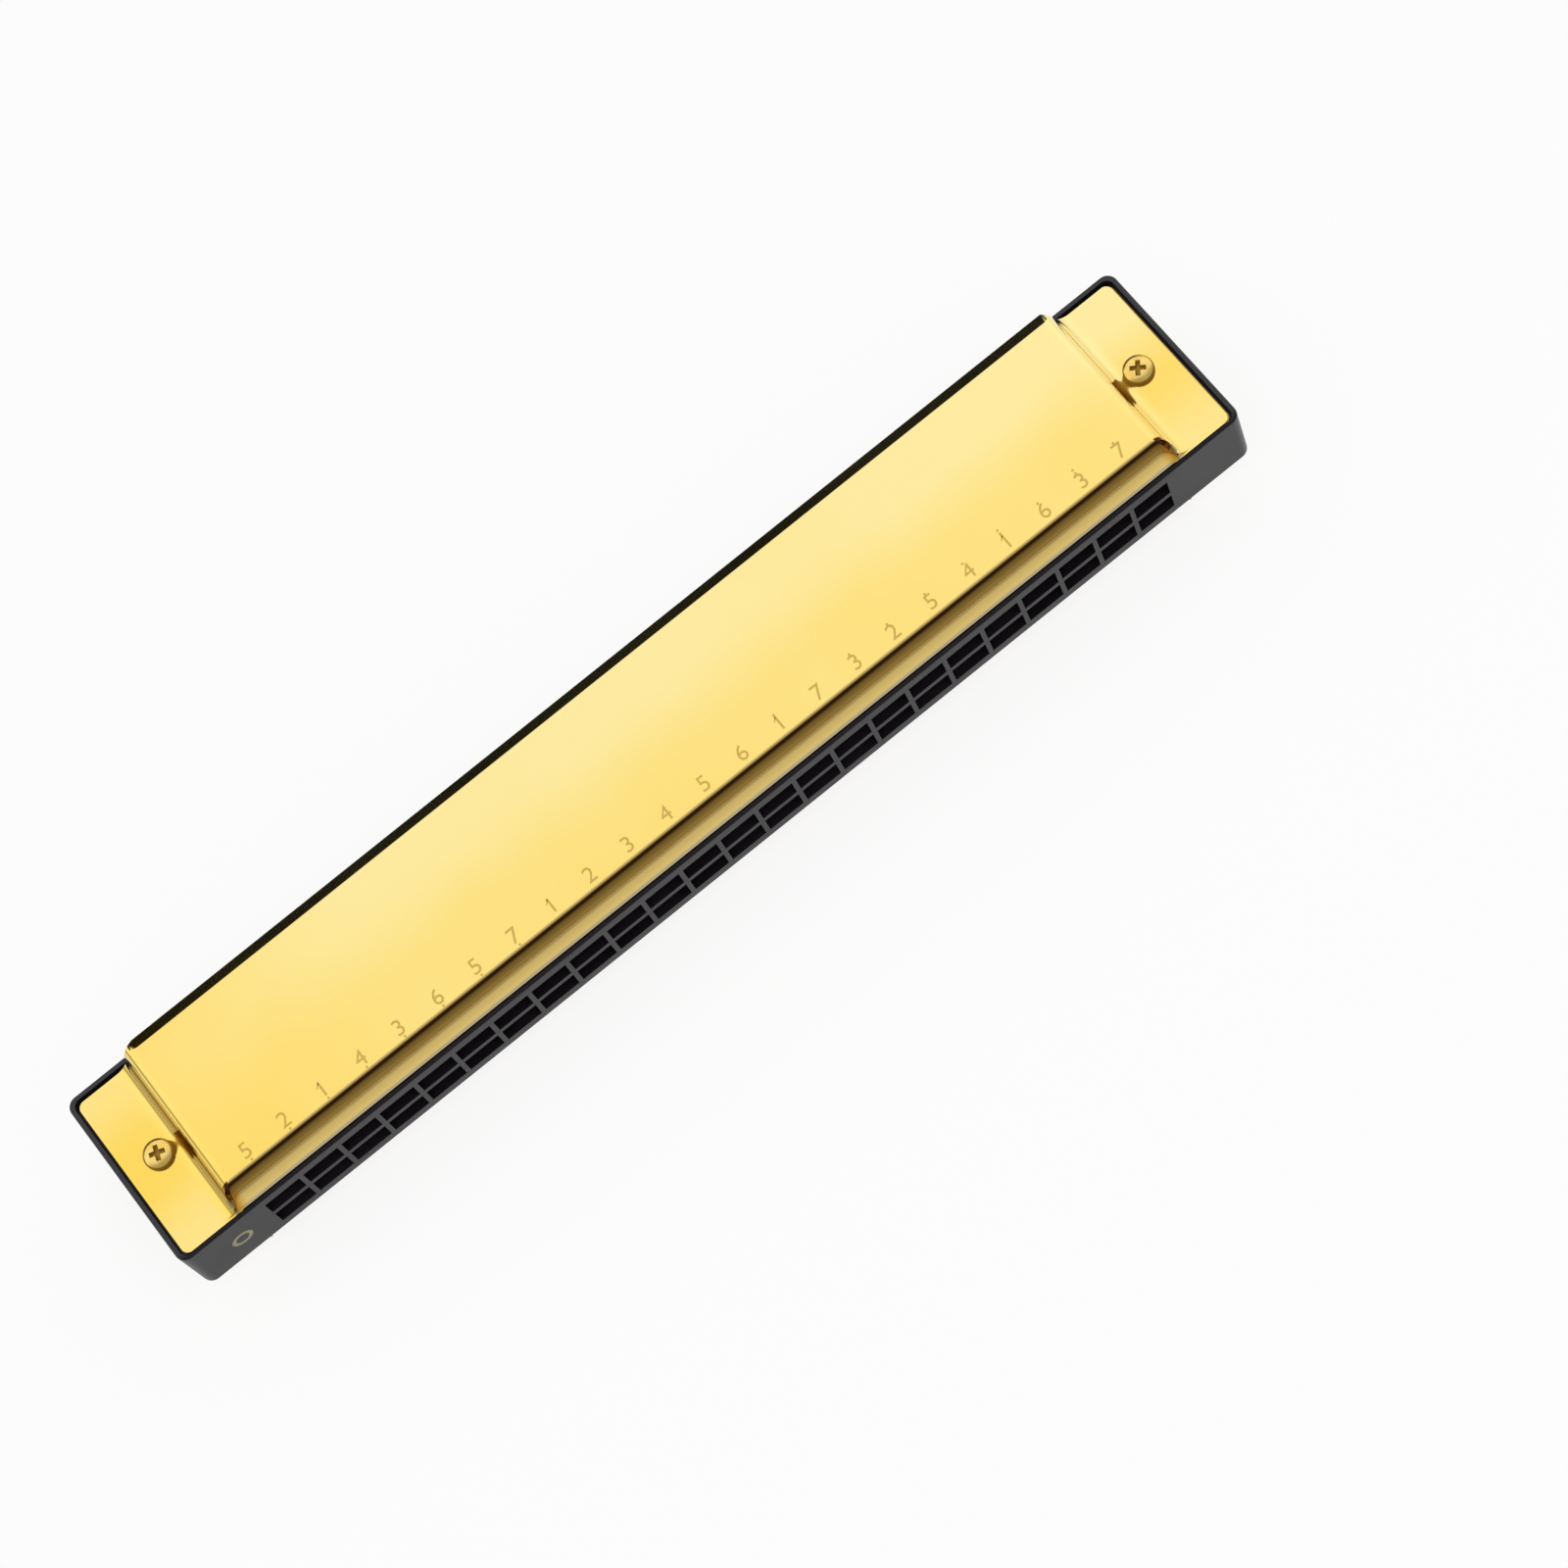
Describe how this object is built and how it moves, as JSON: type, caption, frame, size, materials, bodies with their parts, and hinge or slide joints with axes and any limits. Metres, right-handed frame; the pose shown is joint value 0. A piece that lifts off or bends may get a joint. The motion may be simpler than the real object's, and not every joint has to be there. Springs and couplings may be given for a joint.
{
  "type": "tremolo harmonica",
  "caption": "Tremolo harmonica with two rows of mouth holes in a moulded comb, brass reed plates with free reeds, and screwed-on gold covers open at the rear.",
  "frame": {"origin": "middle of the lower cover's outer face, under the middle of the comb", "axes": "+X along the comb towards the high notes, the mouth side faces -Y, +Z out of the upper cover"},
  "size_m": [0.168, 0.0268, 0.0198],
  "materials": {
    "comb": "satin injection-moulded black ABS",
    "plate": "rolled brass sheet, lightly tarnished",
    "reed": "ground spring brass",
    "cover": "pressed sheet, polished gold-coloured plating",
    "screw": "gold-coloured plated screw"
  },
  "bodies": {
    "harmonica": {"comb": "comb", "upper_reed_plate": "plate", "lower_reed_plate": "plate", "upper_cover": "cover", "lower_cover": "cover", "upper_screw_left": "screw", "upper_screw_right": "screw", "lower_screw_left": "screw", "lower_screw_right": "screw"},
    "upper_reed_01": {"upper_reed_01": "reed"},
    "upper_reed_02": {"upper_reed_02": "reed"},
    "upper_reed_03": {"upper_reed_03": "reed"},
    "upper_reed_04": {"upper_reed_04": "reed"},
    "upper_reed_05": {"upper_reed_05": "reed"},
    "upper_reed_06": {"upper_reed_06": "reed"},
    "upper_reed_07": {"upper_reed_07": "reed"},
    "upper_reed_08": {"upper_reed_08": "reed"},
    "upper_reed_09": {"upper_reed_09": "reed"},
    "upper_reed_10": {"upper_reed_10": "reed"},
    "upper_reed_11": {"upper_reed_11": "reed"},
    "upper_reed_12": {"upper_reed_12": "reed"},
    "upper_reed_13": {"upper_reed_13": "reed"},
    "upper_reed_14": {"upper_reed_14": "reed"},
    "upper_reed_15": {"upper_reed_15": "reed"},
    "upper_reed_16": {"upper_reed_16": "reed"},
    "upper_reed_17": {"upper_reed_17": "reed"},
    "upper_reed_18": {"upper_reed_18": "reed"},
    "upper_reed_19": {"upper_reed_19": "reed"},
    "upper_reed_20": {"upper_reed_20": "reed"},
    "upper_reed_21": {"upper_reed_21": "reed"},
    "upper_reed_22": {"upper_reed_22": "reed"},
    "upper_reed_23": {"upper_reed_23": "reed"},
    "upper_reed_24": {"upper_reed_24": "reed"},
    "lower_reed_01": {"lower_reed_01": "reed"},
    "lower_reed_02": {"lower_reed_02": "reed"},
    "lower_reed_03": {"lower_reed_03": "reed"},
    "lower_reed_04": {"lower_reed_04": "reed"},
    "lower_reed_05": {"lower_reed_05": "reed"},
    "lower_reed_06": {"lower_reed_06": "reed"},
    "lower_reed_07": {"lower_reed_07": "reed"},
    "lower_reed_08": {"lower_reed_08": "reed"},
    "lower_reed_09": {"lower_reed_09": "reed"},
    "lower_reed_10": {"lower_reed_10": "reed"},
    "lower_reed_11": {"lower_reed_11": "reed"},
    "lower_reed_12": {"lower_reed_12": "reed"},
    "lower_reed_13": {"lower_reed_13": "reed"},
    "lower_reed_14": {"lower_reed_14": "reed"},
    "lower_reed_15": {"lower_reed_15": "reed"},
    "lower_reed_16": {"lower_reed_16": "reed"},
    "lower_reed_17": {"lower_reed_17": "reed"},
    "lower_reed_18": {"lower_reed_18": "reed"},
    "lower_reed_19": {"lower_reed_19": "reed"},
    "lower_reed_20": {"lower_reed_20": "reed"},
    "lower_reed_21": {"lower_reed_21": "reed"},
    "lower_reed_22": {"lower_reed_22": "reed"},
    "lower_reed_23": {"lower_reed_23": "reed"},
    "lower_reed_24": {"lower_reed_24": "reed"}
  },
  "joints": [
    {"name": "upper_reed_01_swing", "type": "hinge", "parent": "harmonica", "child": "upper_reed_01", "pos_m": [-0.069, 0.00885, 0.01383], "axis": [-1, 0, 0], "range_deg": [-4, 4], "stiffness_Nm_per_rad": 0.0008},
    {"name": "upper_reed_02_swing", "type": "hinge", "parent": "harmonica", "child": "upper_reed_02", "pos_m": [-0.063, -0.0077, 0.01547], "axis": [1, 0, 0], "range_deg": [-4, 4], "stiffness_Nm_per_rad": 0.0008},
    {"name": "upper_reed_03_swing", "type": "hinge", "parent": "harmonica", "child": "upper_reed_03", "pos_m": [-0.057, 0.00801, 0.01383], "axis": [-1, 0, 0], "range_deg": [-4, 4], "stiffness_Nm_per_rad": 0.0008},
    {"name": "upper_reed_04_swing", "type": "hinge", "parent": "harmonica", "child": "upper_reed_04", "pos_m": [-0.051, -0.0077, 0.01547], "axis": [1, 0, 0], "range_deg": [-4, 4], "stiffness_Nm_per_rad": 0.0008},
    {"name": "upper_reed_05_swing", "type": "hinge", "parent": "harmonica", "child": "upper_reed_05", "pos_m": [-0.045, 0.00721, 0.01383], "axis": [-1, 0, 0], "range_deg": [-4, 4], "stiffness_Nm_per_rad": 0.0008},
    {"name": "upper_reed_06_swing", "type": "hinge", "parent": "harmonica", "child": "upper_reed_06", "pos_m": [-0.039, -0.0077, 0.01547], "axis": [1, 0, 0], "range_deg": [-4, 4], "stiffness_Nm_per_rad": 0.0008},
    {"name": "upper_reed_07_swing", "type": "hinge", "parent": "harmonica", "child": "upper_reed_07", "pos_m": [-0.033, 0.00645, 0.01383], "axis": [-1, 0, 0], "range_deg": [-4, 4], "stiffness_Nm_per_rad": 0.0008},
    {"name": "upper_reed_08_swing", "type": "hinge", "parent": "harmonica", "child": "upper_reed_08", "pos_m": [-0.027, -0.0077, 0.01547], "axis": [1, 0, 0], "range_deg": [-4, 4], "stiffness_Nm_per_rad": 0.0008},
    {"name": "upper_reed_09_swing", "type": "hinge", "parent": "harmonica", "child": "upper_reed_09", "pos_m": [-0.021, 0.00573, 0.01383], "axis": [-1, 0, 0], "range_deg": [-4, 4], "stiffness_Nm_per_rad": 0.0008},
    {"name": "upper_reed_10_swing", "type": "hinge", "parent": "harmonica", "child": "upper_reed_10", "pos_m": [-0.015, -0.0077, 0.01547], "axis": [1, 0, 0], "range_deg": [-4, 4], "stiffness_Nm_per_rad": 0.0008},
    {"name": "upper_reed_11_swing", "type": "hinge", "parent": "harmonica", "child": "upper_reed_11", "pos_m": [-0.009, 0.00505, 0.01383], "axis": [-1, 0, 0], "range_deg": [-4, 4], "stiffness_Nm_per_rad": 0.0008},
    {"name": "upper_reed_12_swing", "type": "hinge", "parent": "harmonica", "child": "upper_reed_12", "pos_m": [-0.003, -0.0077, 0.01547], "axis": [1, 0, 0], "range_deg": [-4, 4], "stiffness_Nm_per_rad": 0.0008},
    {"name": "upper_reed_13_swing", "type": "hinge", "parent": "harmonica", "child": "upper_reed_13", "pos_m": [0.003, 0.0044, 0.01383], "axis": [-1, 0, 0], "range_deg": [-4, 4], "stiffness_Nm_per_rad": 0.0008},
    {"name": "upper_reed_14_swing", "type": "hinge", "parent": "harmonica", "child": "upper_reed_14", "pos_m": [0.009, -0.0077, 0.01547], "axis": [1, 0, 0], "range_deg": [-4, 4], "stiffness_Nm_per_rad": 0.0008},
    {"name": "upper_reed_15_swing", "type": "hinge", "parent": "harmonica", "child": "upper_reed_15", "pos_m": [0.015, 0.00379, 0.01383], "axis": [-1, 0, 0], "range_deg": [-4, 4], "stiffness_Nm_per_rad": 0.0008},
    {"name": "upper_reed_16_swing", "type": "hinge", "parent": "harmonica", "child": "upper_reed_16", "pos_m": [0.021, -0.0077, 0.01547], "axis": [1, 0, 0], "range_deg": [-4, 4], "stiffness_Nm_per_rad": 0.0008},
    {"name": "upper_reed_17_swing", "type": "hinge", "parent": "harmonica", "child": "upper_reed_17", "pos_m": [0.027, 0.00321, 0.01383], "axis": [-1, 0, 0], "range_deg": [-4, 4], "stiffness_Nm_per_rad": 0.0008},
    {"name": "upper_reed_18_swing", "type": "hinge", "parent": "harmonica", "child": "upper_reed_18", "pos_m": [0.033, -0.0077, 0.01547], "axis": [1, 0, 0], "range_deg": [-4, 4], "stiffness_Nm_per_rad": 0.0008},
    {"name": "upper_reed_19_swing", "type": "hinge", "parent": "harmonica", "child": "upper_reed_19", "pos_m": [0.039, 0.00265, 0.01383], "axis": [-1, 0, 0], "range_deg": [-4, 4], "stiffness_Nm_per_rad": 0.0008},
    {"name": "upper_reed_20_swing", "type": "hinge", "parent": "harmonica", "child": "upper_reed_20", "pos_m": [0.045, -0.0077, 0.01547], "axis": [1, 0, 0], "range_deg": [-4, 4], "stiffness_Nm_per_rad": 0.0008},
    {"name": "upper_reed_21_swing", "type": "hinge", "parent": "harmonica", "child": "upper_reed_21", "pos_m": [0.051, 0.00213, 0.01383], "axis": [-1, 0, 0], "range_deg": [-4, 4], "stiffness_Nm_per_rad": 0.0008},
    {"name": "upper_reed_22_swing", "type": "hinge", "parent": "harmonica", "child": "upper_reed_22", "pos_m": [0.057, -0.0077, 0.01547], "axis": [1, 0, 0], "range_deg": [-4, 4], "stiffness_Nm_per_rad": 0.0008},
    {"name": "upper_reed_23_swing", "type": "hinge", "parent": "harmonica", "child": "upper_reed_23", "pos_m": [0.063, 0.00164, 0.01383], "axis": [-1, 0, 0], "range_deg": [-4, 4], "stiffness_Nm_per_rad": 0.0008},
    {"name": "upper_reed_24_swing", "type": "hinge", "parent": "harmonica", "child": "upper_reed_24", "pos_m": [0.069, -0.0077, 0.01547], "axis": [1, 0, 0], "range_deg": [-4, 4], "stiffness_Nm_per_rad": 0.0008},
    {"name": "lower_reed_01_swing", "type": "hinge", "parent": "harmonica", "child": "lower_reed_01", "pos_m": [-0.069, 0.00885, 0.00597], "axis": [1, 0, 0], "range_deg": [-4, 4], "stiffness_Nm_per_rad": 0.0008},
    {"name": "lower_reed_02_swing", "type": "hinge", "parent": "harmonica", "child": "lower_reed_02", "pos_m": [-0.063, -0.0077, 0.00433], "axis": [-1, 0, 0], "range_deg": [-4, 4], "stiffness_Nm_per_rad": 0.0008},
    {"name": "lower_reed_03_swing", "type": "hinge", "parent": "harmonica", "child": "lower_reed_03", "pos_m": [-0.057, 0.00801, 0.00597], "axis": [1, 0, 0], "range_deg": [-4, 4], "stiffness_Nm_per_rad": 0.0008},
    {"name": "lower_reed_04_swing", "type": "hinge", "parent": "harmonica", "child": "lower_reed_04", "pos_m": [-0.051, -0.0077, 0.00433], "axis": [-1, 0, 0], "range_deg": [-4, 4], "stiffness_Nm_per_rad": 0.0008},
    {"name": "lower_reed_05_swing", "type": "hinge", "parent": "harmonica", "child": "lower_reed_05", "pos_m": [-0.045, 0.00721, 0.00597], "axis": [1, 0, 0], "range_deg": [-4, 4], "stiffness_Nm_per_rad": 0.0008},
    {"name": "lower_reed_06_swing", "type": "hinge", "parent": "harmonica", "child": "lower_reed_06", "pos_m": [-0.039, -0.0077, 0.00433], "axis": [-1, 0, 0], "range_deg": [-4, 4], "stiffness_Nm_per_rad": 0.0008},
    {"name": "lower_reed_07_swing", "type": "hinge", "parent": "harmonica", "child": "lower_reed_07", "pos_m": [-0.033, 0.00645, 0.00597], "axis": [1, 0, 0], "range_deg": [-4, 4], "stiffness_Nm_per_rad": 0.0008},
    {"name": "lower_reed_08_swing", "type": "hinge", "parent": "harmonica", "child": "lower_reed_08", "pos_m": [-0.027, -0.0077, 0.00433], "axis": [-1, 0, 0], "range_deg": [-4, 4], "stiffness_Nm_per_rad": 0.0008},
    {"name": "lower_reed_09_swing", "type": "hinge", "parent": "harmonica", "child": "lower_reed_09", "pos_m": [-0.021, 0.00573, 0.00597], "axis": [1, 0, 0], "range_deg": [-4, 4], "stiffness_Nm_per_rad": 0.0008},
    {"name": "lower_reed_10_swing", "type": "hinge", "parent": "harmonica", "child": "lower_reed_10", "pos_m": [-0.015, -0.0077, 0.00433], "axis": [-1, 0, 0], "range_deg": [-4, 4], "stiffness_Nm_per_rad": 0.0008},
    {"name": "lower_reed_11_swing", "type": "hinge", "parent": "harmonica", "child": "lower_reed_11", "pos_m": [-0.009, 0.00505, 0.00597], "axis": [1, 0, 0], "range_deg": [-4, 4], "stiffness_Nm_per_rad": 0.0008},
    {"name": "lower_reed_12_swing", "type": "hinge", "parent": "harmonica", "child": "lower_reed_12", "pos_m": [-0.003, -0.0077, 0.00433], "axis": [-1, 0, 0], "range_deg": [-4, 4], "stiffness_Nm_per_rad": 0.0008},
    {"name": "lower_reed_13_swing", "type": "hinge", "parent": "harmonica", "child": "lower_reed_13", "pos_m": [0.003, 0.0044, 0.00597], "axis": [1, 0, 0], "range_deg": [-4, 4], "stiffness_Nm_per_rad": 0.0008},
    {"name": "lower_reed_14_swing", "type": "hinge", "parent": "harmonica", "child": "lower_reed_14", "pos_m": [0.009, -0.0077, 0.00433], "axis": [-1, 0, 0], "range_deg": [-4, 4], "stiffness_Nm_per_rad": 0.0008},
    {"name": "lower_reed_15_swing", "type": "hinge", "parent": "harmonica", "child": "lower_reed_15", "pos_m": [0.015, 0.00379, 0.00597], "axis": [1, 0, 0], "range_deg": [-4, 4], "stiffness_Nm_per_rad": 0.0008},
    {"name": "lower_reed_16_swing", "type": "hinge", "parent": "harmonica", "child": "lower_reed_16", "pos_m": [0.021, -0.0077, 0.00433], "axis": [-1, 0, 0], "range_deg": [-4, 4], "stiffness_Nm_per_rad": 0.0008},
    {"name": "lower_reed_17_swing", "type": "hinge", "parent": "harmonica", "child": "lower_reed_17", "pos_m": [0.027, 0.00321, 0.00597], "axis": [1, 0, 0], "range_deg": [-4, 4], "stiffness_Nm_per_rad": 0.0008},
    {"name": "lower_reed_18_swing", "type": "hinge", "parent": "harmonica", "child": "lower_reed_18", "pos_m": [0.033, -0.0077, 0.00433], "axis": [-1, 0, 0], "range_deg": [-4, 4], "stiffness_Nm_per_rad": 0.0008},
    {"name": "lower_reed_19_swing", "type": "hinge", "parent": "harmonica", "child": "lower_reed_19", "pos_m": [0.039, 0.00265, 0.00597], "axis": [1, 0, 0], "range_deg": [-4, 4], "stiffness_Nm_per_rad": 0.0008},
    {"name": "lower_reed_20_swing", "type": "hinge", "parent": "harmonica", "child": "lower_reed_20", "pos_m": [0.045, -0.0077, 0.00433], "axis": [-1, 0, 0], "range_deg": [-4, 4], "stiffness_Nm_per_rad": 0.0008},
    {"name": "lower_reed_21_swing", "type": "hinge", "parent": "harmonica", "child": "lower_reed_21", "pos_m": [0.051, 0.00213, 0.00597], "axis": [1, 0, 0], "range_deg": [-4, 4], "stiffness_Nm_per_rad": 0.0008},
    {"name": "lower_reed_22_swing", "type": "hinge", "parent": "harmonica", "child": "lower_reed_22", "pos_m": [0.057, -0.0077, 0.00433], "axis": [-1, 0, 0], "range_deg": [-4, 4], "stiffness_Nm_per_rad": 0.0008},
    {"name": "lower_reed_23_swing", "type": "hinge", "parent": "harmonica", "child": "lower_reed_23", "pos_m": [0.063, 0.00164, 0.00597], "axis": [1, 0, 0], "range_deg": [-4, 4], "stiffness_Nm_per_rad": 0.0008},
    {"name": "lower_reed_24_swing", "type": "hinge", "parent": "harmonica", "child": "lower_reed_24", "pos_m": [0.069, -0.0077, 0.00433], "axis": [-1, 0, 0], "range_deg": [-4, 4], "stiffness_Nm_per_rad": 0.0008}
  ]
}
